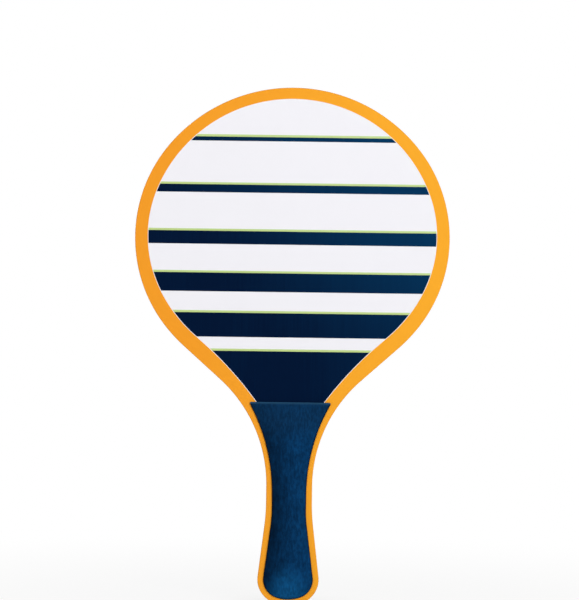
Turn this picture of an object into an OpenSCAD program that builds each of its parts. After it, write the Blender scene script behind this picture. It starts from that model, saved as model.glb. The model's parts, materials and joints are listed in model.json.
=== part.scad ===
// Beach game paddle: a plywood bat with an oval printed blade and a waisted handle, and a foam
// grip pad glued to each face of the handle.
// X is the width, Z runs up the handle to the tip of the blade, and the front face looks to -Y.
// The origin is in the middle of the grip, halfway through the board. All sizes are in millimetres.

/* [Board outline] */
// Overall length, from the end of the handle to the tip of the blade
paddle_len = 386.5; // [360:0.5:420]
// Width of the blade where it is widest
blade_w = 235; // [215:1:255]
// How much the radius of the tip exceeds half the blade's width
tip_flat = 3; // [1:0.5:8]
// How much the radius of the sides falls short of half the blade's width
side_round = 10; // [5:0.5:20]
// How much the radius of the shoulders exceeds half the blade's width
shoulder_flat = 3; // [0.5:0.5:6]
// Length of the straight flank between the shoulder and the throat
flank_len = 37; // [10:1:55]
// Width of the handle at its waist
waist_w = 34.3; // [30:0.1:38]
// Height of the waist's upper end above the end of the handle
waist_h = 89; // [82:1:96]
// Length of the straight waist
waist_len = 12; // [4:1:16]
// Length of the straight flare between the waist and the swollen end
flare_len = 38; // [20:1:44]
// Width of the swollen end of the handle
end_w = 45.8; // [42:0.1:52]
// How much the radius of the handle's end exceeds half its width
end_flat = 9; // [4:0.5:14]
// How much the radius of the end's corners falls short of half its width
end_round = 4.5; // [2:0.5:6]

/* [Plywood] */
// Thickness of the core veneer
core_t = 1.8; // [1:0.1:3]
// Thickness of each cross-grain veneer
cross_t = 1.4; // [0.8:0.1:2]
// Thickness of each face veneer
face_t = 1.2; // [1:0.1:2]
// Radius of the sanded outer edge of each face veneer
edge_ease = 0.6; // [0.3:0.1:0.9]

/* [Print] */
// Thickness of the printed coat
print_t = 0.2; // [0.1:0.05:0.4]
// Width of the border at the sides of the blade
border_w = 9.5; // [6:0.5:14]
// Width of the border at the tip
border_tip_w = 8.4; // [6:0.1:14]
// How much the radius of the field's tip exceeds half the field's width
field_tip_flat = 1.4; // [1:0.1:6]
// How much the radius of the field's sides falls short of half the field's width
field_side_round = 16; // [8:0.5:22]
// How much the radius of the field's shoulders exceeds half the field's width
field_shoulder_flat = 2; // [0.5:0.5:4]
// Radius of the field's hollow flanks, between shoulders and grip
field_flank_r = 280; // [200:10:500]
// Width of the field where it meets the grip
field_foot_w = 53; // [46:0.5:58]
// Width of the white line between the border and the dark bands
keyline_w = 0.4; // [0.2:0.1:1.5]
// Height of the lime line along the upper edge of each band
line_h = 1.6; // [0.8:0.1:3]
// Height of the white ground between the field's tip and the first lime line
band_top_gap = 27.1; // [15:0.1:35]
// Heights of the navy bands, from the tip down
band_heights = [3.2, 5.9, 9.8, 14, 18]; // [2:0.1:20]
// Heights of the white gaps under the bands, from the tip down
band_gaps = [31, 27.2, 19.8, 14.2, 8.9]; // [6:0.1:35]

/* [Grip pad] */
// Height of the pads' straight upper end above the end of the handle
pad_top_h = 151.6; // [140:0.1:165]
// Width of border left between the pad and the edge of the board, at the handle's end and waist
pad_inset = 4.3; // [3:0.1:6]
// How far the pad's waist lies below that of the board
pad_waist_drop = 6; // [0:0.5:12]
// How much the radius of the pad's hollow flanks exceeds that of a border of even width
pad_flank_flat = 28; // [10:0.5:40]
// Radius of the pad's upper corners
pad_corner_r = 1.8; // [0.5:0.1:4]
// Thickness of the pad along its middle
pad_t = 4; // [3.5:0.1:8]
// How much the pad rises from its rounded edge to its middle
pad_crown = 0.9; // [0.4:0.1:1.5]
// Radius of the pad's rounded edge
pad_edge_r = 1.6; // [1:0.1:2]
// Width of the level strip along the middle of the pad at the waist
pad_flat_w = 4; // [2:0.5:8]
// Thickness of the glue sheet under the pad
glue_t = 0.4; // [0.3:0.05:0.8]
// How far the glue sheet stays inside the edge of the pad
glue_inset = 0.4; // [0.2:0.1:1]

/* [Hidden] */

// Longest straight facet of a curved outline, and steps across rounded edges, crowns and corners
facet_len = 4;
ease_steps = 3;
crown_steps = 4;
corner_steps = 5;

// Levels above the middle of the board
cross_z = core_t / 2;
face_z = cross_z + cross_t;
board_z = face_z + face_t;
pad_z = board_z + glue_t;

// The origin lies halfway up the pad
grip_h = (pad_top_h + pad_inset) / 2;

// Board outline as tangent arcs and straights: end, corner, flare, waist, throat, flank, shoulder,
// side and tip
waist_half = waist_w / 2;
end_r = end_w / 2 + end_flat;
corner_r = end_w / 2 - end_round;
tip_r = blade_w / 2 + tip_flat;
side_r = blade_w / 2 - side_round;
shoulder_r = blade_w / 2 + shoulder_flat;
mid_h = paddle_len - tip_r + oval_shift(tip_flat, side_round);
end_c = [0, end_r];
corner_c = [end_round, end_r - oval_shift(end_flat, end_round)];
tip_c = [0, paddle_len - tip_r];
side_c = [side_round, mid_h];
shoulder_c = [0, mid_h + oval_shift(shoulder_flat, side_round)];
throat_r = hollow_r(waist_half, shoulder_c[1] - waist_h, shoulder_r, flank_len);
throat_c = [waist_half + throat_r, waist_h];
flank_turn = atan2(flank_len, throat_r + shoulder_r);
end_a = bearing(end_c, corner_c);
throat_a = bearing(throat_c, shoulder_c) + flank_turn;
shoulder_a = bearing(shoulder_c, throat_c) + flank_turn;
side_low_a = bearing(shoulder_c, side_c);
side_high_a = bearing(tip_c, side_c);

// Pad outline: a handle like the board's, and then arcs of the flank and the upper corner
pad_waist_half = waist_half - pad_inset;
pad_waist_h = waist_h - pad_waist_drop;
pad_flank_r = throat_r + pad_inset + pad_flank_flat;
pad_flank_c = [pad_waist_half + pad_flank_r, pad_waist_h];
pad_flank_n = steps(pad_flank_r, 180, bearing(pad_flank_c, pad_top_c(0, pad_top_h)));

// Field outline as tangent arcs: flank, shoulder, side and tip
field_half = blade_w / 2 - border_w;
field_tip_r = field_half + field_tip_flat;
field_side_r = field_half - field_side_round;
field_shoulder_r = field_half + field_shoulder_flat;
field_tip_h = paddle_len - border_tip_w;
field_tip_c = [0, field_tip_h - field_tip_r];
field_side_c = [field_side_round, field_tip_c[1] + oval_shift(field_tip_flat, field_side_round)];
field_shoulder_c = [0, field_side_c[1] + oval_shift(field_shoulder_flat, field_side_round)];
field_flank_c = circle_meet(field_shoulder_c, field_shoulder_r + field_flank_r,
    [field_foot_w / 2, pad_top_h], field_flank_r);

// Lime lines and bands, as heights of their upper edges
line_tops = [for (i = [0:len(band_gaps)]) field_tip_h - band_top_gap - band_drop(i)];
band_tops = [for (top = line_tops) top - line_h];

function sq(x) = x * x;

// Bearing in degrees from one point to another
function bearing(from, to) = atan2(to[1] - from[1], to[0] - from[0]);

// Distance between the centre line of an oval's sides and the centre of its flatter end
function oval_shift(flat, round) = sqrt(sq(flat + round) - sq(round));

// Radius of a hollow that leaves a waist upright and runs into a round form, given by the distance
// of its centre along the handle and its radius, with a straight stretch between the two
function hollow_r(waist, rise, round_r, straight = 0) =
    (sq(waist) + sq(rise) - sq(round_r) - sq(straight)) / (2 * (round_r - waist));

// The right-hand meeting point of two circles given by centre and radius
function circle_meet(c1, r1, c2, r2) =
    let (d = norm(c2 - c1), along = (sq(r1) - sq(r2) + sq(d)) / (2 * d))
    let (across = sqrt(sq(r1) - sq(along)), e = (c2 - c1) / d)
    c1 + along * e + across * [-e[1], e[0]];

// Number of facets on an arc
function steps(r, a0, a1) = ceil(abs(a1 - a0) * PI / 180 * r / facet_len);

// Point of a circle at a bearing
function at(c, r, a) = c + r * [cos(a), sin(a)];

// Points along an arc, without its last one
function arc(c, r, a0, a1, n) = [for (i = [0:n - 1]) at(c, r, a0 + (a1 - a0) * i / n)];

// Right half of a handle from its end to the top of its flare, inset by d. The handle lies inside the
// board by a border, and has half the waist's width at the top.
function handle_half(border, waist, top, d) =
    let (r = corner_r - border)
    let (flare_r = hollow_r(waist - corner_c[0], top - corner_c[1], r, flare_len))
    let (flare_c = [waist + flare_r, top])
    let (corner_a = bearing(corner_c, flare_c) - atan2(flare_len, flare_r + r))
    concat(
        arc(end_c, end_r - border - d, -90, end_a, steps(end_r, -90, end_a)),
        arc(corner_c, r - d, end_a, corner_a, steps(corner_r, end_a, corner_a)),
        [at(corner_c, r - d, corner_a)],
        arc(flare_c, flare_r + d, 180 + corner_a, 180, steps(flare_r, corner_a, 0)),
        [at(flare_c, flare_r + d, 180)]);

// Right half of the board's outline, inset by d, from the end of the handle to the tip
function board_half(d) = concat(
    handle_half(0, waist_half, waist_h - waist_len, d),
    arc(throat_c, throat_r + d, 180, throat_a, steps(throat_r, 180, throat_a)),
    [at(throat_c, throat_r + d, throat_a)],
    arc(shoulder_c, shoulder_r - d, shoulder_a, side_low_a, steps(shoulder_r, shoulder_a, side_low_a)),
    arc(side_c, side_r - d, side_low_a, side_high_a, steps(side_r, side_low_a, side_high_a)),
    arc(tip_c, tip_r - d, side_high_a, 90, steps(tip_r, side_high_a, 90)),
    [[0, paddle_len - d]]);

// Centre of the pad's upper right corner, between its flank, inset by d, and its straight end
function pad_top_c(d, top) =
    let (rise = top - pad_corner_r - pad_waist_h)
    [pad_flank_c[0] - sqrt(sq(pad_flank_r + d + pad_corner_r) - sq(rise)), top - pad_corner_r];

// Right half of the pad's outline, inset by d, with its straight end at a height
function pad_half(d, top) = let (c = pad_top_c(d, top)) concat(
    handle_half(pad_inset, pad_waist_half, pad_waist_h - waist_len, d),
    arc(pad_flank_c, pad_flank_r + d, 180, bearing(pad_flank_c, c), pad_flank_n),
    arc(c, pad_corner_r, bearing(c, pad_flank_c), 90, corner_steps),
    [at(c, pad_corner_r, 90)]);

// Right half of the field's outline, inset by d, from the grip to the tip
function field_half_outline(d) =
    let (flank_a = bearing(field_flank_c, field_shoulder_c))
    let (foot_a = 180 - asin((pad_top_h - field_flank_c[1]) / (field_flank_r + d)))
    let (shoulder_a = bearing(field_shoulder_c, field_flank_c))
    let (low_a = bearing(field_shoulder_c, field_side_c), high_a = bearing(field_tip_c, field_side_c))
    concat(
        [[0, pad_top_h]],
        arc(field_flank_c, field_flank_r + d, foot_a, flank_a, steps(field_flank_r, foot_a, flank_a)),
        arc(field_shoulder_c, field_shoulder_r - d, shoulder_a, low_a,
            steps(field_shoulder_r, shoulder_a, low_a)),
        arc(field_side_c, field_side_r - d, low_a, high_a, steps(field_side_r, low_a, high_a)),
        arc(field_tip_c, field_tip_r - d, high_a, 90, steps(field_tip_r, high_a, 90)),
        [[0, field_tip_h - d]]);

// Closed outline from its right half, which starts on the middle line and may end there too
function whole(half) =
    let (last = len(half) - 1, mirrored = half[last][0] > 0 ? last : last - 1)
    concat(half, [for (i = [mirrored:-1:1]) [-half[i][0], half[i][1]]]);

// How far the upper edge of lime line i lies below that of the first one
function band_drop(i) = i == 0 ? 0 : band_drop(i - 1) + line_h + band_heights[i - 1] + band_gaps[i - 1];

// A solid through outlines of equal point counts, given as right halves with a level each
module loft(halves, levels) {
    last = len(halves[0]) - 1;
    count = len(whole(halves[0]));
    top = (len(halves) - 1) * count;
    points = [for (k = [0:len(halves) - 1]) for (p = whole(halves[k])) [p[0], p[1], levels[k]]];
    walls = [for (k = [1:len(halves) - 1], i = [0:count - 1])
        let (a = (k - 1) * count, b = k * count, j = (i + 1) % count)
        each [[a + i, b + i, b + j], [a + i, b + j, a + j]]];
    floor_faces = [for (i = [0:last - 1]) cap_face(i, count, 0)];
    roof_faces = [for (i = [0:last - 1]) reversed(cap_face(i, count, top))];
    polyhedron(points, concat(walls, floor_faces, roof_faces), convexity = 6);
}

// Face of a cap between the points i and i + 1 of the right half and their mirror images
function cap_face(i, count, base) =
    let (left_low = base + count - i, left_high = base + count - i - 1)
    i == 0 ? [base, base + 1, left_high]
    : left_high == base + i + 1 ? [base + i, base + i + 1, left_low]
    : [base + i, base + i + 1, left_high, left_low];

function reversed(list) = [for (i = [len(list) - 1:-1:0]) list[i]];

// Stands a flat shape up as a layer, with its inner face at a level above the middle of the board
module front(level) {
    rotate([90, 0, 0]) translate([0, -grip_h, level]) children();
}

module rear(level) {
    rotate([0, 0, 180]) front(level) children();
}

module outline(half) {
    polygon(whole(half));
}

// A strip right across the blade, down from a height
module strip(top, height) {
    translate([-blade_w / 2, top - height]) square([blade_w, height]);
}

// Navy bands and the panel that runs down to the grip
module band_strips() {
    for (i = [0:len(band_heights) - 1]) strip(band_tops[i], band_heights[i]);
    panel_top = band_tops[len(band_heights)];
    strip(panel_top, panel_top - pad_top_h);
}

module line_strips() {
    for (top = line_tops) strip(top, line_h);
}

// Face veneer with its outer edge sanded round
module face_veneer() {
    turns = [for (i = [0:ease_steps]) 90 * i / ease_steps];
    insets = concat([0], [for (a = turns) edge_ease * (1 - cos(a))]);
    levels = concat([0], [for (a = turns) face_t - edge_ease * (1 - sin(a))]);
    loft([for (d = insets) board_half(d)], levels);
}

module border_coat() {
    linear_extrude(print_t) difference() {
        outline(board_half(edge_ease));
        outline(field_half_outline(0));
        outline(pad_half(0, pad_top_h));
    }
}

module field_coat() {
    linear_extrude(print_t) difference() {
        outline(field_half_outline(0));
        intersection() {
            outline(field_half_outline(keyline_w));
            union() {
                band_strips();
                line_strips();
            }
        }
    }
}

module band_coat() {
    linear_extrude(print_t) intersection() {
        outline(field_half_outline(keyline_w));
        band_strips();
    }
}

module line_coat() {
    linear_extrude(print_t) intersection() {
        outline(field_half_outline(keyline_w));
        line_strips();
    }
}

module glue_sheet() {
    linear_extrude(glue_t) outline(pad_half(glue_inset, pad_top_h - glue_inset));
}

// Foam pad: an upright wall, a rounded edge and a crown that is level along the middle
module foam_pad() {
    shoulder_t = pad_t - pad_crown;
    reach = pad_waist_half - pad_flat_w / 2 - pad_edge_r;
    turns = [for (i = [0:ease_steps]) 90 * i / ease_steps];
    shares = [for (i = [1:crown_steps]) i / crown_steps];
    insets = concat([0], [for (a = turns) pad_edge_r * (1 - cos(a))],
        [for (s = shares) pad_edge_r + reach * s]);
    levels = concat([0], [for (a = turns) shoulder_t - pad_edge_r * (1 - sin(a))],
        [for (s = shares) shoulder_t + pad_crown * (1 - sq(1 - s))]);
    tops = [for (d = insets) pad_top_h - min(d, pad_edge_r) / 2];
    loft([for (k = [0:len(insets) - 1]) pad_half(insets[k], tops[k])], levels);
}

module core_ply() {
    color("#16233b") front(-core_t / 2) linear_extrude(core_t) outline(board_half(0));
}

module front_cross_ply() {
    color("#101a2e") front(cross_z) linear_extrude(cross_t) outline(board_half(0));
}

module rear_cross_ply() {
    color("#101a2e") rear(cross_z) linear_extrude(cross_t) outline(board_half(0));
}

module front_face_ply() {
    color("#16233b") front(face_z) face_veneer();
}

module rear_face_ply() {
    color("#16233b") rear(face_z) face_veneer();
}

module front_border_print() {
    color("#f7a42c") front(board_z) border_coat();
}

module rear_border_print() {
    color("#f7a42c") rear(board_z) border_coat();
}

module front_field_print() {
    color("#f2f0f5") front(board_z) field_coat();
}

module rear_field_print() {
    color("#f2f0f5") rear(board_z) field_coat();
}

module front_band_print() {
    color("#021c40") front(board_z) band_coat();
}

module rear_band_print() {
    color("#021c40") rear(board_z) band_coat();
}

module front_line_print() {
    color("#bbd686") front(board_z) line_coat();
}

module rear_line_print() {
    color("#bbd686") rear(board_z) line_coat();
}

module front_grip_adhesive() {
    color("#d8cfae") front(board_z) glue_sheet();
}

module rear_grip_adhesive() {
    color("#d8cfae") rear(board_z) glue_sheet();
}

module front_grip_pad() {
    color("#08365c") front(pad_z) foam_pad();
}

module rear_grip_pad() {
    color("#08365c") rear(pad_z) foam_pad();
}

core_ply();
front_cross_ply();
rear_cross_ply();
front_face_ply();
rear_face_ply();
front_border_print();
rear_border_print();
front_field_print();
rear_field_print();
front_band_print();
rear_band_print();
front_line_print();
rear_line_print();
front_grip_adhesive();
rear_grip_adhesive();
front_grip_pad();
rear_grip_pad();
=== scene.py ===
"""Looks of a beach game paddle: veneers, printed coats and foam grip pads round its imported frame.

X is the width, Z runs up the handle to the tip of the blade, and the front face looks to -Y.
All sizes are in metres, and heights count from the end of the handle.
"""

import json
import logging
import math
from collections.abc import Sequence
from dataclasses import dataclass, replace
from enum import Enum
from functools import cached_property

import bmesh
import bpy
from mathutils import Color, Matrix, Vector

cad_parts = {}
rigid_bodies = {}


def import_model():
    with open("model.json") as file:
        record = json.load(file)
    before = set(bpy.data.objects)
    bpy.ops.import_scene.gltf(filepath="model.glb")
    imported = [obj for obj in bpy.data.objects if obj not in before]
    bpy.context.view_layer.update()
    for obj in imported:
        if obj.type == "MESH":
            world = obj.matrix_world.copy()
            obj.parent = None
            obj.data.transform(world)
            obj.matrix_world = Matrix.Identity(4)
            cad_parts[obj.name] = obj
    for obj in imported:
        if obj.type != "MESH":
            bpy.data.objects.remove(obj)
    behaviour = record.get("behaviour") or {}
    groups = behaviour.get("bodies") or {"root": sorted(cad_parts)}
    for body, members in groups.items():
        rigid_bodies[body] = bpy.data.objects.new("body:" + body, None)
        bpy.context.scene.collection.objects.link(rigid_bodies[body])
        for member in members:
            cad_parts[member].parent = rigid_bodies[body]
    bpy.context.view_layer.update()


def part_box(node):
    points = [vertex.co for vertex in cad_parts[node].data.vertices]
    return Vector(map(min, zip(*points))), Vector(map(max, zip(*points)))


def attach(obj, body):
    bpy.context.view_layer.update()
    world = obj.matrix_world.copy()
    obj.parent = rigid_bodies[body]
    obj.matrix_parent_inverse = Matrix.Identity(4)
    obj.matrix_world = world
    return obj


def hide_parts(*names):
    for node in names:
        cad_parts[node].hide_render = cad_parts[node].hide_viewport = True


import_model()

LOG = logging.getLogger("beach_paddle")
BODY = "root"

Point = tuple[float, float]
Triple = tuple[float, float, float]
Colour = Triple
Material = bpy.types.Material
Socket = bpy.types.NodeSocket
Source = Socket | float | tuple[float, ...]
Inputs = dict[str | int, Source]

# Directions and bearings
ORIGIN = (0.0, 0.0, 0.0)
AXIS_X = (1.0, 0.0, 0.0)
AXIS_Y = (0.0, 1.0, 0.0)
AXIS_Z = (0.0, 0.0, 1.0)
MIRROR_X = (-1.0, 1.0, 1.0)
QUARTER_TURN = math.pi / 2
UP = QUARTER_TURN
LEFT = math.pi
DOWN = -QUARTER_TURN

# Modelling tolerances
FACET = 0.001
LEAST_FACETS = 2
SEED_SIZE = 0.0001
WELD = 2e-5
LEVEL_SLACK = 1e-6
SMOOTH_ANGLE = math.radians(40)

# Values of colours and shader nodes
TOP_LEVEL = 255
RISING = (0.0, 1.0)
FALLING = (1.0, 0.0)
NOISE_SPAN = (0.3, 0.7)
WHITE = (1.0, 1.0, 1.0, 1.0)
MIX_LOW = 6
MIX_HIGH = 7
MIX_RESULT = 2


class Face(Enum):
    """The two broad faces of the paddle."""

    FRONT = "front"
    REAR = "rear"

    @property
    def outward(self) -> float:
        """Sign of Y that points away from the board on this face."""
        return -1.0 if self is Face.FRONT else 1.0

    def named(self, part: str) -> str:
        """Name of a part on this face."""
        return f"{self.value}_{part}"


class Slot(Enum):
    """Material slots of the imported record."""

    CORE = "core_wood"
    CROSS = "cross_wood"
    FACE = "face_wood"
    ORANGE = "orange_print"
    WHITE = "white_print"
    NAVY = "navy_print"
    LIME = "lime_print"
    GLUE = "glue_film"
    FOAM = "grip_foam"


Materials = dict[Slot, Material]


def screen(red: int, green: int, blue: int) -> Colour:
    """Turn a colour as seen on a screen, with levels from 0 to 255, into linear light."""
    levels = (red / TOP_LEVEL, green / TOP_LEVEL, blue / TOP_LEVEL)
    return tuple(Color(levels).from_srgb_to_scene_linear())


def bearing(start: Point, end: Point) -> float:
    """Direction from one point to another, in radians from +X towards +Z."""
    return math.atan2(end[1] - start[1], end[0] - start[0])


def oval_shift(flat: float, rounding: float) -> float:
    """Distance between the middle of an oval's sides and the centre of its flatter end."""
    return math.sqrt((flat + rounding) ** 2 - rounding**2)


def hollow_radius(waist: float, rise: float, round_radius: float, straight: float) -> float:
    """Find the radius of a hollow that leaves a waist upright and runs into a round form.

    Args:
        waist: Half the width at the waist.
        rise: Distance of the round form's centre along the handle from the waist.
        round_radius: Radius of the round form.
        straight: Length of the straight stretch between the two.

    Returns:
        The radius of the hollow.
    """
    return (waist**2 + rise**2 - round_radius**2 - straight**2) / (2 * (round_radius - waist))


def on_circle(centre: Point, radius: float, angle: float) -> Point:
    """Point of a circle at a bearing from its centre."""
    return centre[0] + radius * math.cos(angle), centre[1] + radius * math.sin(angle)


@dataclass(frozen=True)
class Arc:
    """A round stretch of an outline, drawn by spinning a vertex about its centre."""

    centre: Point
    radius: float
    first: float
    last: float
    steps: int

    @property
    def start(self) -> Point:
        """Point at which the stretch begins."""
        return on_circle(self.centre, self.radius, self.first)

    @property
    def end(self) -> Point:
        """Point at which the stretch ends."""
        return on_circle(self.centre, self.radius, self.last)

    def draw(self, level: float) -> None:
        """Spin the selected vertex along the stretch.

        Args:
            level: Level of Y of the plane on which it lies.
        """
        centre = (self.centre[0], level, self.centre[1])
        turn = self.last - self.first
        bpy.ops.mesh.spin(steps=self.steps, angle=turn, center=centre, axis=AXIS_Y)


@dataclass(frozen=True)
class Line:
    """A straight stretch of an outline, drawn by extruding a vertex."""

    start: Point
    end: Point

    def draw(self, level: float) -> None:
        """Extrude the selected vertex along the stretch; the level stays the same."""
        step = (self.end[0] - self.start[0], 0.0, self.end[1] - self.start[1])
        bpy.ops.mesh.extrude_region_move(TRANSFORM_OT_translate={"value": step})


Segment = Arc | Line


def make_arc(centre: Point, radius: float, offset: float, first: float, last: float) -> Arc:
    """Make an arc whose count of facets doesn't depend on its offset.

    Args:
        centre: Centre of the arc.
        radius: Radius before the offset.
        offset: What is added to the radius.
        first: Bearing of the first point.
        last: Bearing of the last point.

    Returns:
        The arc.
    """
    steps = max(LEAST_FACETS, math.ceil(abs(last - first) * radius / FACET))
    return Arc(centre, radius + offset, first, last, steps)


@dataclass(frozen=True)
class Oval:
    """A blade's round form, with a flattened tip, rounder sides and flattened shoulders."""

    half: float
    tip_z: float
    tip_flat: float
    side_round: float
    shoulder_flat: float

    @property
    def shoulder_radius(self) -> float:
        """Radius of the shoulders."""
        return self.half + self.shoulder_flat

    @property
    def tip_centre(self) -> Point:
        """Centre of the tip's arc."""
        return 0.0, self.tip_z - self.half - self.tip_flat

    @property
    def side_centre(self) -> Point:
        """Centre of the right side's arc."""
        return self.side_round, self.tip_centre[1] + oval_shift(self.tip_flat, self.side_round)

    @property
    def shoulder_centre(self) -> Point:
        """Centre of the shoulders' arc."""
        return 0.0, self.side_centre[1] + oval_shift(self.shoulder_flat, self.side_round)

    def arcs(self, inset: float, first: float) -> list[Arc]:
        """Make the arcs of the right half.

        Args:
            inset: How far the arcs lie inside the form.
            first: Bearing at which the shoulder begins.

        Returns:
            The shoulder, the side and the tip.
        """
        low = bearing(self.shoulder_centre, self.side_centre)
        high = bearing(self.tip_centre, self.side_centre)
        return [
            make_arc(self.shoulder_centre, self.shoulder_radius, -inset, first, low),
            make_arc(self.side_centre, self.half - self.side_round, -inset, low, high),
            make_arc(self.tip_centre, self.half + self.tip_flat, -inset, high, UP),
        ]


@dataclass(frozen=True)
class BoardOutline:
    """Right half of the board's edge, as tangent arcs from the handle's end to the tip."""

    length: float
    blade_width: float
    foot_z: float
    edge_ease: float = 0.0006
    tip_flat: float = 0.003
    side_round: float = 0.010
    shoulder_flat: float = 0.003
    flank_length: float = 0.037
    waist_width: float = 0.0343
    waist_height: float = 0.089
    waist_length: float = 0.012
    flare_length: float = 0.038
    end_width: float = 0.0458
    end_flat: float = 0.009
    end_round: float = 0.0045

    @property
    def waist_z(self) -> float:
        """Level of the waist's upper end."""
        return self.foot_z + self.waist_height

    @property
    def tip_z(self) -> float:
        """Level of the tip."""
        return self.foot_z + self.length

    @property
    def oval(self) -> Oval:
        """The blade's round form."""
        bends = (self.tip_flat, self.side_round, self.shoulder_flat)
        return Oval(self.blade_width / 2, self.tip_z, *bends)

    @property
    def throat_radius(self) -> float:
        """Radius of the hollow between the waist and the straight flank."""
        rise = self.oval.shoulder_centre[1] - self.waist_z
        return hollow_radius(
            self.waist_width / 2, rise, self.oval.shoulder_radius, self.flank_length
        )

    def handle(self, border: float, half: float, waist_z: float, inset: float) -> list[Segment]:
        """Arcs and straights of a handle, from its end to the top of its waist.

        Args:
            border: How far the handle lies inside the board's edge at its end.
            half: Half the width at its waist.
            waist_z: Level of the waist's upper end.
            inset: How far the stretches lie inside that handle.

        Returns:
            The end, the corner, the straight flare, its hollow and the straight waist.
        """
        end_radius = self.end_width / 2 + self.end_flat
        end = (0.0, self.foot_z + end_radius)
        corner = (self.end_round, end[1] - oval_shift(self.end_flat, self.end_round))
        corner_radius = self.end_width / 2 - self.end_round - border
        flare_z = waist_z - self.waist_length
        rise = flare_z - corner[1]
        flare_radius = hollow_radius(half - corner[0], rise, corner_radius, self.flare_length)
        flare_centre = (half + flare_radius, flare_z)
        low = bearing(end, corner)
        lean = math.atan2(self.flare_length, flare_radius + corner_radius)
        high = bearing(corner, flare_centre) - lean
        end_arc = make_arc(end, end_radius - border, -inset, DOWN, low)
        corner_arc = make_arc(corner, corner_radius, -inset, low, high)
        flare_arc = make_arc(flare_centre, flare_radius, inset, LEFT + high, LEFT)
        flare = Line(corner_arc.end, flare_arc.start)
        waist = Line(flare_arc.end, (half - inset, waist_z))
        return [end_arc, corner_arc, flare, flare_arc, waist]

    def blade(self, inset: float) -> list[Segment]:
        """Arcs and straights from the waist to the tip.

        Args:
            inset: How far the stretches lie inside the board's edge.

        Returns:
            The throat, the straight flank, the shoulder, the side and the tip.
        """
        shoulder = self.oval.shoulder_centre
        centre = (self.waist_width / 2 + self.throat_radius, self.waist_z)
        lean = math.atan2(self.flank_length, self.throat_radius + self.oval.shoulder_radius)
        last = bearing(centre, shoulder) + lean
        throat = make_arc(centre, self.throat_radius, inset, LEFT, last)
        arcs = self.oval.arcs(inset, bearing(shoulder, centre) + lean)
        return [throat, Line(throat.end, arcs[0].start), *arcs]

    def whole(self, inset: float) -> list[Segment]:
        """All stretches of the right half, inset from the board's edge."""
        handle = self.handle(0.0, self.waist_width / 2, self.waist_z, inset)
        return [*handle, *self.blade(inset)]


@dataclass(frozen=True)
class GripOutline:
    """Right half of a grip pad's edge, as tangent arcs up to its straight upper end."""

    board: BoardOutline
    top: float
    inset: float = 0.0043
    waist_drop: float = 0.006
    flank_flat: float = 0.028
    corner_radius: float = 0.0010
    corner_steps: int = 8

    @property
    def waist_half(self) -> float:
        """Half the width at the pad's waist."""
        return self.board.waist_width / 2 - self.inset

    def edge(self, inset: float, setback: float) -> list[Segment]:
        """The handle's stretches, and the arcs of the flank and the upper corner.

        Args:
            inset: How far the arcs lie inside the pad's edge.
            setback: How far the straight end lies below the pad's top.

        Returns:
            The stretches, whose counts of facets depend on neither.
        """
        radius = self.board.throat_radius + self.inset + self.flank_flat
        waist_z = self.board.waist_z - self.waist_drop
        centre = (self.waist_half + radius, waist_z)
        whole_end = bearing(centre, self.corner(centre, radius, 0.0))
        whole_flank = make_arc(centre, radius, inset, LEFT, whole_end)
        corner = self.corner(centre, radius + inset, setback)
        first = bearing(corner, centre)
        return [
            *self.board.handle(self.inset, self.waist_half, waist_z, inset),
            replace(whole_flank, last=bearing(centre, corner)),
            Arc(corner, self.corner_radius, first, UP, self.corner_steps),
        ]

    def corner(self, flank_centre: Point, flank_radius: float, setback: float) -> Point:
        """Find the upper corner, which touches the flank and the straight end.

        Args:
            flank_centre: Centre of the flank's arc.
            flank_radius: Radius of the flank's arc.
            setback: How far the straight end lies below the pad's top.

        Returns:
            Centre of the corner's arc.
        """
        level = self.top - setback - self.corner_radius
        reach = flank_radius + self.corner_radius
        return flank_centre[0] - math.sqrt(reach**2 - (level - flank_centre[1]) ** 2), level

    def whole(self, inset: float, setback: float) -> list[Segment]:
        """The pad's right half, closed by its straight upper end."""
        edge = self.edge(inset, setback)
        return [*edge, Line(edge[-1].end, (0.0, self.top - setback))]


@dataclass(frozen=True)
class FieldOutline:
    """Right half of the printed field inside the border, from the grip to the tip."""

    board: BoardOutline
    grip_top: float
    border_width: float = 0.0095
    border_tip_width: float = 0.0084
    tip_flat: float = 0.0014
    side_round: float = 0.016
    shoulder_flat: float = 0.002
    flank_radius: float = 0.280
    foot_width: float = 0.0512

    @property
    def oval(self) -> Oval:
        """The field's round form.

        Returns:
            The form, inside the board's by the border.
        """
        half = self.board.blade_width / 2 - self.border_width
        tip_z = self.board.tip_z - self.border_tip_width
        return Oval(half, tip_z, self.tip_flat, self.side_round, self.shoulder_flat)

    def edge(self, inset: float, foot: float) -> list[Segment]:
        """Arcs of the field's edge, from a foot level up.

        Args:
            inset: How far the arcs lie inside the field's edge.
            foot: Level of Z at which they begin.

        Returns:
            The flank, the shoulder, the side and the tip.
        """
        shoulder = self.oval.shoulder_centre
        corner = (self.foot_width / 2, self.grip_top)
        reach = self.oval.shoulder_radius + self.flank_radius
        apart = math.dist(shoulder, corner)
        swing = math.acos((reach**2 + apart**2 - self.flank_radius**2) / (2 * reach * apart))
        centre = on_circle(shoulder, reach, bearing(shoulder, corner) + swing)
        first = LEFT - math.asin((foot - centre[1]) / (self.flank_radius + inset))
        last = bearing(centre, shoulder) % math.tau
        flank = make_arc(centre, self.flank_radius, inset, first, last)
        return [flank, *self.oval.arcs(inset, bearing(shoulder, centre))]

    def whole(self, inset: float, foot: float) -> list[Segment]:
        """The field's right half, closed by a straight foot."""
        edge = self.edge(inset, foot)
        return [Line((0.0, foot), edge[0].start), *edge]


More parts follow.
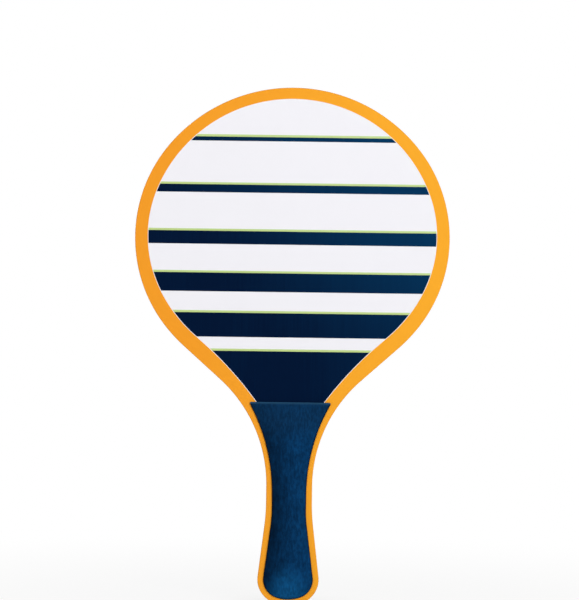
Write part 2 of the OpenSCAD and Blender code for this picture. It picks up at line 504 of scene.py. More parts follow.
def apply_modifier(piece: bpy.types.Object, name: str, kind: str, **settings: object) -> None:
    """Add a modifier to the active piece and apply it.

    Args:
        piece: The piece.
        name: Name of the modifier.
        kind: Kind of the modifier.
        **settings: Its settings.
    """
    modifier = piece.modifiers.new(name, kind)
    for key, value in settings.items():
        setattr(modifier, key, value)
    bpy.ops.object.modifier_apply(modifier=modifier.name)


class Sketch:
    """A piece while it is being modelled in edit mode, between two levels of Y."""

    def __init__(self, name: str, node: str, side: Face) -> None:
        """Read a node's levels from the frame, start an empty mesh and enter edit mode.

        Args:
            name: Name of the piece.
            node: Node of the frame that it replaces.
            side: Face that it looks to.
        """
        low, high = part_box(node)
        self.node = node
        self.inner, self.outer = (high.y, low.y) if side is Face.FRONT else (low.y, high.y)
        self.depth = self.outer - self.inner
        bpy.ops.object.select_all(action="DESELECT")
        bpy.ops.mesh.primitive_plane_add(size=SEED_SIZE)
        self.piece = bpy.context.object
        self.piece.name = name
        self.piece.data.name = name
        bpy.ops.object.mode_set(mode="EDIT")
        bpy.ops.mesh.select_mode(type="VERT")
        bpy.ops.mesh.select_all(action="SELECT")
        bpy.ops.mesh.delete(type="VERT")

    def loop(self, half: Sequence[Segment], level: float) -> int:
        """Draw a closed outline from its right half and keep it as a vertex group.

        Args:
            half: Stretches of the right half, which starts and ends on the middle line.
            level: Level of Y on which it lies.

        Returns:
            Index of the vertex group that holds the outline.
        """
        start = half[0].start
        bpy.ops.mesh.primitive_plane_add(size=SEED_SIZE, location=(start[0], level, start[1]))
        bpy.ops.mesh.merge(type="CENTER")
        for stretch in half:
            stretch.draw(level)
        bpy.ops.mesh.select_linked()
        bpy.ops.object.vertex_group_add()
        bpy.ops.object.vertex_group_assign()
        group = self.piece.vertex_groups.active_index
        bpy.ops.mesh.duplicate()
        bpy.ops.transform.resize(value=MIRROR_X, center_override=ORIGIN)
        self.pick(group)
        bpy.ops.mesh.remove_doubles(threshold=WELD)
        return group

    def pick(self, *groups: int) -> None:
        """Select only the outlines kept in some vertex groups.

        Args:
            *groups: Indices of the groups.
        """
        bpy.ops.mesh.select_all(action="DESELECT")
        for group in groups:
            self.piece.vertex_groups.active_index = group
            bpy.ops.object.vertex_group_select()

    def face(self, half: Sequence[Segment], level: float) -> int:
        """Draw a closed outline as one flat face.

        Args:
            half: Stretches of the right half.
            level: Level of Y on which it lies.

        Returns:
            Index of the vertex group that holds the face.
        """
        group = self.loop(half, level)
        bpy.ops.mesh.edge_face_add()
        return group

    def ring(self, outer: int, inner: int) -> None:
        """Fill the level ground between two outlines."""
        self.pick(outer, inner)
        bpy.ops.mesh.fill(use_beauty=True)

    def bridge(self, groups: Sequence[int]) -> None:
        """Join outlines of equal count, each to the next, with a wall.

        Args:
            groups: Vertex groups of the outlines.
        """
        for lower, upper in zip(groups, groups[1:]):
            self.pick(lower, upper)
            bpy.ops.mesh.bridge_edge_loops()

    def trim(self, group: int, height: float, keep_below: bool) -> None:
        """Slice a flat face straight across and drop one side of the slice.

        Args:
            group: Vertex group of the face.
            height: Level of Z of the slice.
            keep_below: Whether the lower side stays.
        """
        self.pick(group)
        bpy.ops.mesh.bisect(
            plane_co=(0.0, 0.0, height),
            plane_no=(0.0, 0.0, 1.0 if keep_below else -1.0),
            clear_outer=True,
        )

    def thicken(self, depth: float) -> None:
        """Extrude all flat faces into closed layers.

        Args:
            depth: Step along Y.
        """
        bpy.ops.mesh.select_all(action="SELECT")
        bpy.ops.mesh.extrude_region_move(TRANSFORM_OT_translate={"value": (0.0, depth, 0.0)})
        self.face_outwards()

    def face_outwards(self) -> None:
        """Turn all faces outwards."""
        bpy.ops.mesh.select_all(action="SELECT")
        bpy.ops.mesh.normals_make_consistent(inside=False)

    def ease_rim(self, level: float, width: float, segments: int) -> None:
        """Round the edge round a layer's flat side.

        Args:
            level: Level of Y of that side.
            width: Width of the rounding.
            segments: Facets across the rounding.
        """
        bpy.ops.mesh.select_all(action="DESELECT")
        bpy.ops.mesh.select_mode(type="EDGE")
        mesh = bmesh.from_edit_mesh(self.piece.data)
        for edge in mesh.edges:
            edge.select_set(all(abs(end.co.y - level) < LEVEL_SLACK for end in edge.verts))
        bmesh.update_edit_mesh(self.piece.data)
        bpy.ops.mesh.bevel(offset=width, segments=segments, affect="EDGES", clamp_overlap=True)

    def finish(self) -> None:
        """Close the sketch with faces outwards and flat sides that shade flat."""
        self.face_outwards()
        bpy.ops.object.mode_set(mode="OBJECT")
        self.piece.vertex_groups.clear()
        bpy.ops.object.shade_smooth_by_angle(angle=SMOOTH_ANGLE)
        apply_modifier(self.piece, "even_normals", "WEIGHTED_NORMAL", keep_sharp=True)

    def declare(self, slot: Slot, materials: Materials) -> None:
        """Dress the finished piece, hang it on the body, hide the frame's node it stands for and
        log it.

        Args:
            slot: Material slot that its finish belongs to.
            materials: Material of each slot.
        """
        piece = self.piece
        piece.data.materials.clear()
        piece.data.materials.append(materials[slot])
        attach(piece, BODY)
        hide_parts(self.node)
        LOG.info("%s stands for %s: %d faces", piece.name, self.node, len(piece.data.polygons))


@dataclass(frozen=True)
class Patches:
    """Size of one patch of noise along each axis, and octaves of finer noise in it."""

    size: Triple
    detail: float = 2.0


class Shader:
    """Node tree of a material or the world, grown from its main shader."""

    def __init__(self, owner: Material | bpy.types.World, main: str = "Principled BSDF") -> None:
        """Give a material or the world its nodes.

        Args:
            owner: The material or the world.
            main: Name of its main shader.
        """
        owner.use_nodes = True
        self.owner = owner
        self.tree = owner.node_tree
        self.main = self.tree.nodes[main]

    @cached_property
    def place(self) -> Socket:
        """Coordinates on the object, in metres."""
        return self.node("TexCoord", "Object", {})

    def connect(self, node: bpy.types.Node, inputs: Inputs) -> None:
        """Link or set some inputs of a node.

        Args:
            node: The node.
            inputs: A socket to link or a constant to set, for the name or number of each input.
        """
        for key, source in inputs.items():
            if isinstance(source, Socket):
                self.tree.links.new(source, node.inputs[key])
            else:
                node.inputs[key].default_value = source

    def node(self, kind: str, output: str | int, inputs: Inputs, **settings: str) -> Socket:
        """Add a node and lead on from one of its outputs.

        Args:
            kind: Kind of node, without the ShaderNode before it.
            output: Name or number of the output.
            inputs: What its inputs get.
            **settings: Its settings, such as its operation.

        Returns:
            Socket of the output.
        """
        node = self.tree.nodes.new(f"ShaderNode{kind}")
        for key, value in settings.items():
            setattr(node, key, value)
        self.connect(node, inputs)
        return node.outputs[output]

    def grains(self, size: Triple) -> Socket:
        """Object coordinates measured in grains of a size along each axis."""
        scale = tuple(1.0 / length for length in size)
        return self.node("Mapping", "Vector", {"Vector": self.place, "Scale": scale})

    def along(self, way: Triple) -> Socket:
        """Distance along a direction, in metres from the origin."""
        inputs = {0: self.place, 1: way}
        return self.node("VectorMath", "Value", inputs, operation="DOT_PRODUCT")

    def maths(self, operation: str, *sources: Source) -> Socket:
        """Result of an operation on numbers."""
        return self.node("Math", "Value", dict(enumerate(sources)), operation=operation)

    def length(self, vector: Socket) -> Socket:
        """Length of a vector."""
        return self.node("VectorMath", "Value", {0: vector}, operation="LENGTH")

    def reach(self, spot: Point, stretch: float) -> Socket:
        """Distance from a spot, seen square on to the faces, in metres.

        Args:
            spot: X and Z of the spot.
            stretch: How many times as far it reaches along Z as along X.

        Returns:
            The distance, counted along X.
        """
        scale = (1.0, 0.0, 1.0 / stretch)
        shift = (-spot[0], 0.0, -spot[1] / stretch)
        inputs = {0: self.place, 1: scale, 2: shift}
        return self.length(self.node("VectorMath", "Vector", inputs, operation="MULTIPLY_ADD"))

    def noise(self, patches: Patches) -> Socket:
        """Soft noise from 0 to 1."""
        inputs = {"Vector": self.grains(patches.size), "Scale": 1.0, "Detail": patches.detail}
        return self.node("TexNoise", "Fac", inputs)

    def cells(self, size: float) -> Socket:
        """Rounded cells: distance from the middle of the nearest cell of a size."""
        inputs = {"Vector": self.grains((size, size, size)), "Scale": 1.0}
        return self.node("TexVoronoi", "Distance", inputs)

    def weigh(self, sockets: Sequence[Socket], weights: Sequence[float]) -> Socket:
        """Add up sockets, each times its weight.

        Args:
            sockets: The sockets.
            weights: Their weights.

        Returns:
            The sum.
        """
        total: Source = 0.0
        for socket, weight in zip(sockets, weights):
            total = self.maths("MULTIPLY_ADD", socket, weight, total)
        return total

    def spread(self, source: Socket, source_range: Point, target_range: Point) -> Socket:
        """Carry one range of a socket smoothly to another range.

        Args:
            source: The socket.
            source_range: Values that the range begins and ends with.
            target_range: What becomes of them.

        Returns:
            The carried socket.
        """
        names = ("From Min", "From Max", "To Min", "To Max")
        inputs = {"Value": source, **dict(zip(names, (*source_range, *target_range)))}
        return self.node("MapRange", "Result", inputs, interpolation_type="SMOOTHSTEP")

    def blend(self, share: Socket, low: Colour | Socket, high: Colour) -> Socket:
        """Lead one colour over to another by a share.

        Args:
            share: Share of the second colour.
            low: The first colour, or a socket that gives it.
            high: The second colour.

        Returns:
            The mixed colour.
        """
        first = low if isinstance(low, Socket) else (*low, 1.0)
        inputs = {"Factor": share, MIX_LOW: first, MIX_HIGH: (*high, 1.0)}
        return self.node("Mix", MIX_RESULT, inputs, data_type="RGBA")

    def shade(self, colour: Socket, share: Socket) -> Socket:
        """Scale a colour's light by a share."""
        inputs = {"Vector": colour, "Scale": share}
        return self.node("VectorMath", "Vector", inputs, operation="SCALE")

    def dress(
        self, colour: Socket, roughness: Socket, height: Socket, relief: float, gloss: float
    ) -> Material:
        """Feed the main shader.

        Args:
            colour: Colour of the surface.
            roughness: Roughness of the surface.
            height: Height of the surface, from 0 to 1.
            relief: Depth of that relief, in metres.
            gloss: Level of its mirror light.

        Returns:
            The material.
        """
        bump = {"Strength": 1.0, "Distance": relief, "Height": height}
        surface = {
            "Base Color": colour,
            "Roughness": roughness,
            "Normal": self.node("Bump", "Normal", bump),
            "Specular IOR Level": gloss,
        }
        self.connect(self.main, surface)
        return self.owner

    def seen_directly(self) -> Socket:
        """Tell rays that show a background from rays that light the object.

        Returns:
            1 for camera, glossy and transmission rays, and 0 for the others.
        """
        total = self.node("LightPath", "Is Camera Ray", {})
        rays = total.node.outputs
        for name in ("Is Glossy Ray", "Is Transmission Ray"):
            total = self.maths("MAXIMUM", total, rays[name])
        return total

    def whiten(self, kind: str, share: Socket, light: Source, output: str) -> None:
        """Lead the main shader over to white light by a share.

        Args:
            kind: Kind of node that gives the white light.
            share: Share of the white light.
            light: Strength of the white light.
            output: Name of the tree's output node.
        """
        white = self.node(kind, 0, {"Color": WHITE, "Strength": light})
        mix = self.node("MixShader", 0, {"Fac": share, 1: self.main.outputs[0], 2: white})
        self.connect(self.tree.nodes[output], {"Surface": mix})


@dataclass(frozen=True)
class InkFinish:
    """Satin printing ink on sanded veneer, whose grain shows through a little, with a painted sheen
    that pales it along one direction.
    """

    name: str
    full: Colour
    # Paler tone: partly random patches, partly a painted sheen.
    pale_tone_and_sheen: Colour
    gloss: float = 0.03
    roughness: Point = (0.42, 0.56)
    relief: float = 0.000012
    relief_weights: Point = (0.5, 0.5)
    # Direction and span of the painted sheen, a gradient of light painted into the ink.
    painted_sheen: Triple = (0.77, 0.0, 0.64)
    painted_sheen_span: Point = (0.05, 0.27)
    cloud: Patches = Patches((0.05, 0.05, 0.07), 3.0)
    grain: Patches = Patches((0.0011, 0.0011, 0.045), 3.0)
    peel: Patches = Patches((0.0013, 0.0013, 0.0013))
    speck: Patches = Patches((0.0004, 0.0004, 0.0004), 1.0)
    tone_weights: Triple = (0.5, 0.3, 0.2)
    patch: Point = (-0.08, 0.08)

    def build(self) -> Material:
        """Make the material, whose colour pales along one direction as a painted sheen.

        Returns:
            The material.
        """
        shader = Shader(bpy.data.materials.new(self.name))
        # Painted sheen: the ink pales along one direction as if lit from that side.
        painted_sheen = shader.spread(shader.along(self.painted_sheen), self.painted_sheen_span, RISING)
        grain = shader.noise(self.grain)
        peel = shader.noise(self.peel)
        parts = (shader.noise(self.cloud), grain, shader.noise(self.speck))
        patch = shader.spread(shader.weigh(parts, self.tone_weights), NOISE_SPAN, self.patch)
        share = shader.weigh((painted_sheen, patch), (1.0, 1.0))
        colour = shader.blend(share, self.full, self.pale_tone_and_sheen)
        roughness = shader.spread(peel, NOISE_SPAN, self.roughness)
        height = shader.weigh((grain, peel), self.relief_weights)
        return shader.dress(colour, roughness, height, self.relief, self.gloss)


@dataclass(frozen=True)
class ToneFinish:
    """A surface that wavers between two tones, and whose first patches are its relief too."""

    name: str
    low: Colour
    high: Colour
    patches: tuple[Patches, ...]
    weights: tuple[float, ...] = (0.6, 0.4)
    roughness: Point = (0.45, 0.65)
    relief: float = 0.00006
    gloss: float = 0.12

    def build(self) -> Material:
        """Make the material.

        Returns:
            The material.
        """
        shader = Shader(bpy.data.materials.new(self.name))
        parts = [shader.noise(patches) for patches in self.patches]
        tone = shader.weigh(parts, self.weights)
        colour = shader.blend(shader.spread(tone, NOISE_SPAN, RISING), self.low, self.high)
        roughness = shader.spread(tone, NOISE_SPAN, self.roughness)
        return shader.dress(colour, roughness, parts[0], self.relief, self.gloss)


# Fibres of sealed veneer under clouds of dark paint, and clouds of glue
PAINT_CLOUD = Patches((0.02, 0.01, 0.02))
LONG_GRAIN = (Patches((0.006, 0.0003, 0.006), 4.0), PAINT_CLOUD)
END_GRAIN = (Patches((0.0004, 0.0004, 0.0004), 4.0), PAINT_CLOUD)
GLUE_CLOUD = (Patches((0.004, 0.004, 0.004), 3.0),)

FINISHES = {
    Slot.CORE: ToneFinish("core_edge", screen(9, 12, 22), screen(24, 30, 46), LONG_GRAIN),
    Slot.CROSS: ToneFinish("cross_edge", screen(5, 7, 14), screen(17, 21, 34), END_GRAIN),
    Slot.FACE: ToneFinish("face_edge", screen(9, 12, 22), screen(22, 28, 44), LONG_GRAIN),
    # Painted sheen: the orange pales towards +X, the other inks towards the upper right.
    Slot.ORANGE: InkFinish(
        "orange_ink",
        screen(244, 156, 40),
        screen(249, 171, 44),
        painted_sheen=AXIS_X,
        painted_sheen_span=(-0.11, 0.11),
    ),
    Slot.WHITE: InkFinish("white_ink", screen(241, 240, 245), screen(242, 241, 246)),
    Slot.NAVY: InkFinish("navy_ink", screen(1, 20, 49), screen(3, 53, 92), gloss=0.012),
    Slot.LIME: InkFinish("lime_ink", screen(192, 215, 138), screen(198, 221, 150)),
    Slot.GLUE: ToneFinish(
        "amber_glue",
        screen(150, 118, 62),
        screen(196, 168, 110),
        GLUE_CLOUD,
        weights=(1.0,),
        roughness=(0.2, 0.4),
        relief=0.00005,
        gloss=0.5,
    ),
}


@dataclass(frozen=True)
class FoamFinish:
    """Matte closed-cell foam with a fine skin, under painted shade at one side, its rim and its
    upper part, and painted highlights at both ends.
    """

    top: float
    foot: float
    base: float
    name: str = "grip_foam_skin"
    low: Colour = screen(3, 43, 79)
    high: Colour = screen(8, 60, 105)
    # Painted highlight on the straight upper edge.
    painted_top_highlight: Colour = screen(46, 92, 128)
    # Painted highlight on the rounded lower end.
    painted_end_highlight: Colour = screen(11, 73, 120)
    # Painted contact shade where the pad meets the board.
    painted_contact_shade: Colour = screen(3, 8, 16)
    # Painted shade round a tall spot on the -X side, darkening the skin by a share.
    painted_side_shade_spot: Point = (-0.027, -0.012)
    painted_side_shade_stretch: float = 4.3
    painted_side_shade_reach: Point = (0.012, 0.040)
    painted_side_shade_light: float = 0.36
    # Painted shade towards the upper end.
    upper: Colour = screen(9, 45, 78)
    painted_upper_shade_depth: Point = (0.012, 0.034)
    painted_upper_shade_share: float = 0.75
    # Height of the painted highlight on the upper edge.
    painted_top_highlight_height: float = 0.0019
    # Reach, waver and stretch of the painted highlight on the lower end.
    painted_end_highlight_reach: Point = (0.0110, 0.0265)
    painted_end_highlight_waver: float = 0.012
    painted_end_highlight_stretch: float = 1.5
    # Heights over which the painted contact shade fades out.
    painted_contact_shade_height: Point = (0.0011, 0.0020)
    nap: Patches = Patches((0.0012, 0.0012, 0.0034))
    nap_light: Point = (0.78, 1.22)
    mottle: Patches = Patches((0.008, 0.008, 0.012), 4.0)
    streak: Patches = Patches((0.0022, 0.0022, 0.007), 3.0)
    fine: Patches = Patches((0.0004, 0.0004, 0.0004))
    tone_weights: Triple = (0.4, 0.25, 0.35)
    tone_span: Point = (0.36, 0.64)
    cell: float = 0.0007
    relief: float = 0.00011
    relief_weights: Point = (0.6, 0.4)
    roughness: Point = (0.74, 0.92)
    gloss: float = 0.03

    def build(self) -> Material:
        """Make the material.

        Returns:
            The material.
        """
        shader = Shader(bpy.data.materials.new(self.name))
        fine = shader.noise(self.fine)
        parts = (shader.noise(self.mottle), shader.noise(self.streak), fine)
        colour = self.colour(shader, shader.weigh(parts, self.tone_weights))
        roughness = shader.spread(fine, NOISE_SPAN, self.roughness)
        height = shader.weigh((shader.cells(self.cell), fine), self.relief_weights)
        return shader.dress(colour, roughness, height, self.relief, self.gloss)

    def colour(self, shader: Shader, tone: Socket) -> Socket:
        """Colour the skin, one tone over the other, with painted shade and painted highlights over
        it.

        Args:
            shader: Shader of the foam.
            tone: Unevenness of the skin.

        Returns:
            The colour.
        """
        level = shader.along(AXIS_Z)
        # Painted highlight: a pale band along the straight upper edge.
        painted_top_highlight = shader.spread(level, (self.top - self.painted_top_highlight_height, self.top), RISING)
        # Painted shade: the skin darkens towards the upper end.
        depth = (self.top - self.painted_upper_shade_depth[1], self.top - self.painted_upper_shade_depth[0])
        upper = shader.spread(level, depth, (0.0, self.painted_upper_shade_share))
        # Painted highlight: the skin pales round the lower end, wavering with the skin's tone.
        away = shader.reach((0.0, self.foot), self.painted_end_highlight_stretch)
        uneven = shader.weigh((away, tone), (1.0, self.painted_end_highlight_waver))
        painted_end_highlight = shader.spread(uneven, self.painted_end_highlight_reach, FALLING)
        # Painted contact shade: the skin darkens within the lowest millimetres of the pad.
        off_middle = shader.maths("ABSOLUTE", shader.along(AXIS_Y))
        lift = (self.base + self.painted_contact_shade_height[0], self.base + self.painted_contact_shade_height[1])
        painted_contact_shade = shader.spread(off_middle, lift, FALLING)
        # Painted shade: the skin darkens round a tall spot on the -X side, as if that side faced
        # away from the light.
        painted_side_shade_distance = shader.reach(self.painted_side_shade_spot, self.painted_side_shade_stretch)
        painted_side_shade = shader.spread(painted_side_shade_distance, self.painted_side_shade_reach, (self.painted_side_shade_light, 1.0))
        nap = shader.spread(shader.noise(self.nap), NOISE_SPAN, self.nap_light)
        skin = shader.blend(shader.spread(tone, self.tone_span, RISING), self.low, self.high)
        skin = shader.blend(upper, shader.shade(skin, painted_side_shade), self.upper)
        skin = shader.shade(shader.blend(painted_end_highlight, skin, self.painted_end_highlight), nap)
        return shader.blend(painted_top_highlight, shader.blend(painted_contact_shade, skin, self.painted_contact_shade), self.painted_top_highlight)


@dataclass(frozen=True)
class FloorFinish:
    """Pale studio floor that fades to white away from the object and keeps its shadow."""

    name: str = "pale_floor"
    colour: Colour = (0.86, 0.86, 0.86)
    roughness: float = 0.9
    gloss: float = 0.0
    fade_reach: Point = (0.08, 0.6)
    fade_white: Point = (0.86, 1.0)
    contact_reach: float = 0.07
    contact_open: Point = (0.45, 1.0)
    contact_light: Point = (0.74, 1.0)

    def build(self) -> Material:
        """Make the material.

        Returns:
            The material.
        """
        shader = Shader(bpy.data.materials.new(self.name))
        surface = {
            "Base Color": (*self.colour, 1.0),
            "Roughness": self.roughness,
            "Specular IOR Level": self.gloss,
        }
        shader.connect(shader.main, surface)
        fade = shader.spread(shader.length(shader.place), self.fade_reach, self.fade_white)
        share = shader.maths("MULTIPLY", fade, shader.seen_directly())
        # Painted contact shadow: ambient occlusion dims the floor's white light near the object.
        contact = shader.node("AmbientOcclusion", "AO", {"Distance": self.contact_reach})
        light = shader.spread(contact, self.contact_open, self.contact_light)
        shader.whiten("Emission", share, light, "Material Output")
        return shader.owner


@dataclass
class PlyBoard:
    """The plywood board: five veneers of one outline with sealed edges."""

    outline: BoardOutline
    materials: Materials
    ease_segments: int = 5
    glue_line: float = 0.00012
    glue_segments: int = 2

    def build(self) -> None:
        """Model and dress the veneers."""
        self.veneer("core_veneer", "core_ply", Face.FRONT, Slot.CORE)
        for side in Face:
            for part, slot in (("cross", Slot.CROSS), ("face", Slot.FACE)):
                self.veneer(side.named(f"{part}_veneer"), side.named(f"{part}_ply"), side, slot)

    def veneer(self, name: str, node: str, side: Face, slot: Slot) -> None:
        """Model one veneer as a plate with fine glue lines, or with a sanded edge on a face.

        Args:
            name: Name of the piece.
            node: Node of the frame.
            side: Face that the veneer looks to.
            slot: Material slot.
        """
        sketch = Sketch(name, node, side)
        sketch.face(self.outline.whole(0.0), sketch.inner)
        sketch.thicken(sketch.depth)
        sketch.ease_rim(sketch.inner, self.glue_line, self.glue_segments)
        if slot is Slot.FACE:
            sketch.ease_rim(sketch.outer, self.outline.edge_ease, self.ease_segments)
        else:
            sketch.ease_rim(sketch.outer, self.glue_line, self.glue_segments)
        sketch.finish()
        sketch.declare(slot, self.materials)


@dataclass
class PrintedFace:
    """Printed coats of one face: border, white ground, navy bands and lime lines."""

    side: Face
    outline: BoardOutline
    grip: GripOutline
    field: FieldOutline
    materials: Materials
    wrap_turns: tuple[float, ...] = (0.0, 20.0, 40.0, 60.0, 76.0)
    ground_share: float = 0.6
    tuck: float = 0.0003
    keyline: float = 0.0004
    line_height: float = 0.0016
    top_gap: float = 0.0271
    band_heights: tuple[float, ...] = (0.0032, 0.0059, 0.0098, 0.0140, 0.0180)
    band_gaps: tuple[float, ...] = (0.0310, 0.0272, 0.0198, 0.0142, 0.0089)
    ink_edge: float = 0.00003
    ink_edge_segments: int = 2

    def build(self) -> None:
        """Model and dress the four coats."""
        self.border()
        self.ground()
        tops = self.line_tops()
        undersides = [top - self.line_height for top in tops]
        bands = [(under - high, under) for under, high in zip(undersides, self.band_heights)]
        panel = (self.foot, undersides[-1])
        self.strips("band", Slot.NAVY, [*bands, panel])
        self.strips("line", Slot.LIME, list(zip(undersides, tops)))

    @property
    def foot(self) -> float:
        """Level at which the print ends, just under the grip's upper edge."""
        return self.field.grip_top - self.tuck

    def line_tops(self) -> list[float]:
        """Find the upper levels of the lime lines.

        Returns:
            The levels, from the tip down.
        """
        top = self.field.oval.tip_z - self.top_gap
        tops = [top]
        for high, gap in zip(self.band_heights, self.band_gaps):
            top -= self.line_height + high + gap
            tops.append(top)
        return tops

    def border(self) -> None:
        """Model the border, which wraps the sanded edge and thins out on it."""
        sketch = Sketch(self.side.named("border_ink"), self.side.named("border_print"), self.side)
        turns = self.wrap_turns
        upper = [self.wrapped(sketch, turn, 1.0 - turn / turns[-1]) for turn in turns]
        lower = [self.wrapped(sketch, turn, 0.0) for turn in reversed(turns[:-1])]
        grip = self.grip.edge(self.tuck, self.tuck)
        field = self.field.edge(0.0, self.foot)
        hole = [*grip, Line(grip[-1].end, field[0].start), *field]
        opening = [sketch.loop(hole, level) for level in (sketch.outer, sketch.inner)]
        sketch.bridge([*upper, *lower])
        sketch.bridge(opening)
        sketch.ring(upper[0], opening[0])
        sketch.ring(lower[-1], opening[1])
        sketch.finish()
        sketch.declare(Slot.ORANGE, self.materials)

    def wrapped(self, sketch: Sketch, turn: float, share: float) -> int:
        """Draw the board's outline at one turn round the sanded edge.

        Args:
            sketch: Sketch of the coat, which gets the outline.
            turn: Turn round the edge, from 0 on the flat, in degrees.
            share: Share of the coat's thickness there.

        Returns:
            Vertex group of the outline.
        """
        angle = math.radians(turn)
        ease = self.outline.edge_ease
        radius = ease + abs(sketch.depth) * share
        inset = ease - radius * math.sin(angle)
        sunk = sketch.inner - self.side.outward * ease
        level = sunk + self.side.outward * radius * math.cos(angle)
        return sketch.loop(self.outline.whole(inset), level)

    def ground(self) -> None:
        """Model the white ground under the bands and lines."""
        sketch = Sketch(self.side.named("ground_ink"), self.side.named("field_print"), self.side)
        sketch.face(self.field.whole(0.0, self.foot), sketch.inner)
        sketch.thicken(sketch.depth * self.ground_share)
        sketch.finish()
        sketch.declare(Slot.WHITE, self.materials)

    def strips(self, part: str, slot: Slot, spans: Sequence[Point]) -> None:
        """Model strips across the field, one for each span of heights.

        Args:
            part: What the strips are.
            slot: Material slot.
            spans: Lower and upper level of each strip.
        """
        node = self.side.named(f"{part}_print")
        sketch = Sketch(self.side.named(f"{part}_ink"), node, self.side)
        floor = sketch.inner + sketch.depth * self.ground_share
        for low, high in spans:
            strip = sketch.face(self.field.whole(self.keyline, self.foot), floor)
            sketch.trim(strip, high, keep_below=True)
            if low > self.foot:
                sketch.trim(strip, low, keep_below=False)
        sketch.thicken(sketch.outer - floor)
        sketch.ease_rim(sketch.outer, self.ink_edge, self.ink_edge_segments)
        sketch.finish()
        sketch.declare(slot, self.materials)


@dataclass
class GripPad:
    """The foam pad of one face and the glue sheet that holds it."""

    side: Face
    outline: GripOutline
    materials: Materials
    glue_inset: float = 0.0004
    crown: float = 0.0023
    edge_radius: float = 0.0009
    edge_steps: int = 6
    crown_steps: int = 6
    level_width: float = 0.004
    end_setback: float = 0.0008
    voxel: float = 0.0005
    soften_rounds: int = 4
    swell: Point = (0.011, 0.00022)
    pebble: Point = (0.0016, 0.00005)
    skin_height: float = 0.0008
    fill: float = 0.95

    def build(self) -> None:
        """Model and dress the glue sheet and the pad."""
        self.glue_sheet()
        self.pad()

    def glue_sheet(self) -> None:
        """Model the glue sheet, just inside the pad's edge."""
        node = self.side.named("grip_adhesive")
        sketch = Sketch(self.side.named("glue_sheet"), node, self.side)
        sketch.face(self.outline.whole(self.glue_inset, self.glue_inset), sketch.inner)
        sketch.thicken(sketch.depth)
        sketch.finish()
        sketch.declare(Slot.GLUE, self.materials)

    def pad(self) -> None:
        """Model the pad through its outlines, and then the foam's own unevenness."""
        sketch = Sketch(self.side.named("foam_pad"), self.side.named("grip_pad"), self.side)
        levels = []
        for inset, setback, rise in self.profile(abs(sketch.depth)):
            level = sketch.inner + self.side.outward * rise
            levels.append(sketch.loop(self.outline.whole(inset, setback), level))
        sketch.bridge(levels)
        for end in (levels[0], levels[-1]):
            sketch.pick(end)
            bpy.ops.mesh.edge_face_add()
        sketch.finish()
        piece = sketch.piece
        self.foam_surface(piece, abs(sketch.inner) + self.skin_height)
        sketch.declare(Slot.FOAM, self.materials)

    def profile(self, thickness: float) -> list[Triple]:
        """Find the pad's outlines over its wall, its rounded edge and its crown.

        Args:
            thickness: Thickness of the pad along its middle.

        Returns:
            Inset, setback of the straight end and height of each outline.
        """
        radius = self.edge_radius
        wall = thickness - self.crown - radius
        outlines = [(0.0, 0.0, 0.0)]
        for step in range(self.edge_steps + 1):
            turn = QUARTER_TURN * step / self.edge_steps
            drawn_in = 1 - math.cos(turn)
            rise = wall + radius * math.sin(turn)
            outlines.append((radius * drawn_in, self.end_setback * drawn_in, rise))
        reach = self.outline.waist_half - self.level_width / 2 - radius
        for step in range(1, self.crown_steps + 1):
            share = step / self.crown_steps
            rise = wall + radius + self.crown * (1 - (1 - share) ** 2)
            outlines.append((radius + reach * share, self.end_setback, rise))
        return outlines

    def foam_surface(self, piece: bpy.types.Object, limit: float) -> None:
        """Remesh the pad finely and give its skin a slight swell and pebble.

        Args:
            piece: The pad.
            limit: Distance from the board's middle at which the skin begins.
        """
        apply_modifier(piece, "fine_mesh", "REMESH", mode="VOXEL", voxel_size=self.voxel)
        apply_modifier(piece, "soften", "SMOOTH", iterations=self.soften_rounds)
        skin = piece.vertex_groups.new(name="skin")
        skin.add([v.index for v in piece.data.vertices if abs(v.co.y) > limit], 1.0, "REPLACE")
        for name, (size, strength) in (("swell", self.swell), ("pebble", self.pebble)):
            cloud = bpy.data.textures.new(f"{piece.name}_{name}", "CLOUDS")
            cloud.noise_scale = size
            rise = {"texture": cloud, "strength": strength, "vertex_group": skin.name}
            apply_modifier(piece, name, "DISPLACE", texture_coords="LOCAL", **rise)
        piece.vertex_groups.clear()
        bpy.ops.object.shade_smooth()


@dataclass(frozen=True)
class Lamp:
    """A soft box that lights the object."""

    name: str
    place: Triple
    aim: Triple
    size: float
    power: float


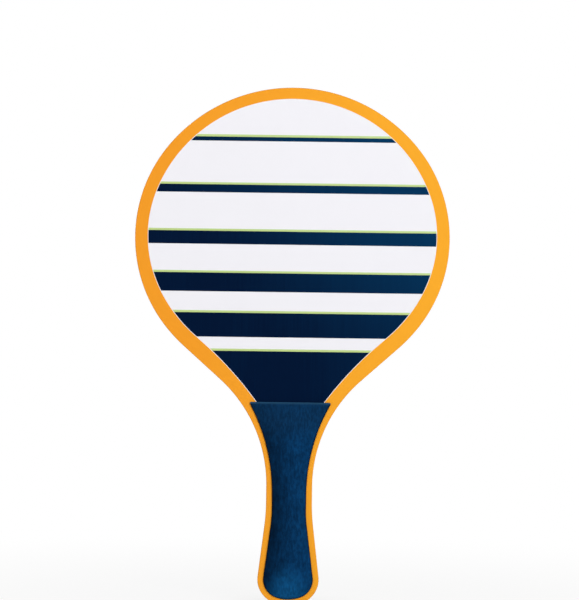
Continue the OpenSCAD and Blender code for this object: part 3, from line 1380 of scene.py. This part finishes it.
@dataclass
class Studio:
    """Pale floor, soft light, white surroundings and the camera, framed as the photograph."""

    floor_z: float
    floor_size: float = 8.0
    ambient: float = 0.25
    photo_width: int = 579
    photo_height: int = 600
    metres_per_pixel: float = 0.000748
    foot_pixel: float = 604.7
    axis_pixel: float = 291.6
    lean: float = math.radians(0.75)
    distance: float = 1.9
    sensor: float = 36.0
    lamps: tuple[Lamp, ...] = (
        Lamp("key", (1.3, -3.0, 1.0), (0.0, 0.0, 0.12), 2.0, 70.5),
        Lamp("fill", (-0.7, -1.5, 0.4), (0.0, 0.0, 0.12), 0.9, 3.2),
    )

    def build(self) -> None:
        """Set up everything round the object."""
        bpy.context.scene.view_settings.view_transform = "Standard"
        self.floor()
        self.world()
        for side in Face:
            for lamp in self.lamps:
                self.light(lamp, side)
        self.camera()

    def floor(self) -> None:
        """Lay the floor under the end of the handle."""
        bpy.ops.object.select_all(action="DESELECT")
        bpy.ops.mesh.primitive_plane_add(size=self.floor_size)
        floor = bpy.context.object
        floor.name = "studio_floor"
        bpy.ops.transform.translate(value=(0.0, 0.0, self.floor_z))
        bpy.ops.object.transform_apply(location=True, rotation=False, scale=False)
        floor.data.materials.append(FloorFinish().build())

    def world(self) -> None:
        """Light all sides softly, with white surroundings for the camera."""
        world = bpy.data.worlds.new("studio_world")
        bpy.context.scene.world = world
        soft = Shader(world, "Background")
        soft.connect(soft.main, {"Color": WHITE, "Strength": self.ambient})
        soft.whiten("Background", soft.seen_directly(), 1.0, "World Output")

    def light(self, lamp: Lamp, side: Face) -> None:
        """Hang one soft box before a face and aim it.

        Args:
            lamp: The soft box, at its place before the front.
            side: The face; before the rear its place is half a turn on.
        """
        turn = -side.outward
        place = (lamp.place[0] * turn, lamp.place[1] * turn, lamp.place[2])
        bpy.ops.object.light_add(type="AREA", location=place)
        box = bpy.context.object
        box.name = side.named(lamp.name)
        box.data.shape = "SQUARE"
        box.data.size = lamp.size
        box.data.energy = lamp.power
        aim = Vector(lamp.aim) - Vector(place)
        box.rotation_euler = aim.to_track_quat("-Z", "Y").to_euler()

    def camera(self) -> None:
        """Stand the camera square to the front face, framed and leaned as the photograph."""
        across = (self.photo_width / 2 - self.axis_pixel) * self.metres_per_pixel
        height = (self.foot_pixel - self.photo_height / 2) * self.metres_per_pixel
        place = (across, -self.distance, self.floor_z + height)
        bpy.ops.object.camera_add(location=place, rotation=(QUARTER_TURN, -self.lean, 0.0))
        camera = bpy.context.object
        camera.name = "photo_camera"
        camera.data.sensor_width = self.sensor
        frame_height = self.photo_height * self.metres_per_pixel
        camera.data.lens = self.sensor * self.distance / frame_height
        bpy.context.scene.camera = camera


def write_sizes() -> None:
    """Bring the view layer up to date."""
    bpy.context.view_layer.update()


def main() -> None:
    """Build the paddle's pieces in the order of their layers, and then the studio."""
    logging.basicConfig(level=logging.INFO, format="%(name)s: %(message)s")
    low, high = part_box("core_ply")
    outline = BoardOutline(length=high.z - low.z, blade_width=high.x - low.x, foot_z=low.z)
    pad_low, pad_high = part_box("front_grip_pad")
    grip = GripOutline(outline, top=pad_high.z)
    field = FieldOutline(outline, grip.top)
    foam = FoamFinish(top=pad_high.z, foot=pad_low.z, base=-pad_high.y)
    finishes = {**FINISHES, Slot.FOAM: foam}
    materials = {slot: finish.build() for slot, finish in finishes.items()}
    PlyBoard(outline, materials).build()
    for side in Face:
        PrintedFace(side, outline, grip, field, materials).build()
        GripPad(side, grip, materials).build()
    Studio(floor_z=low.z).build()
    write_sizes()


if __name__ == "__main__":
    main()
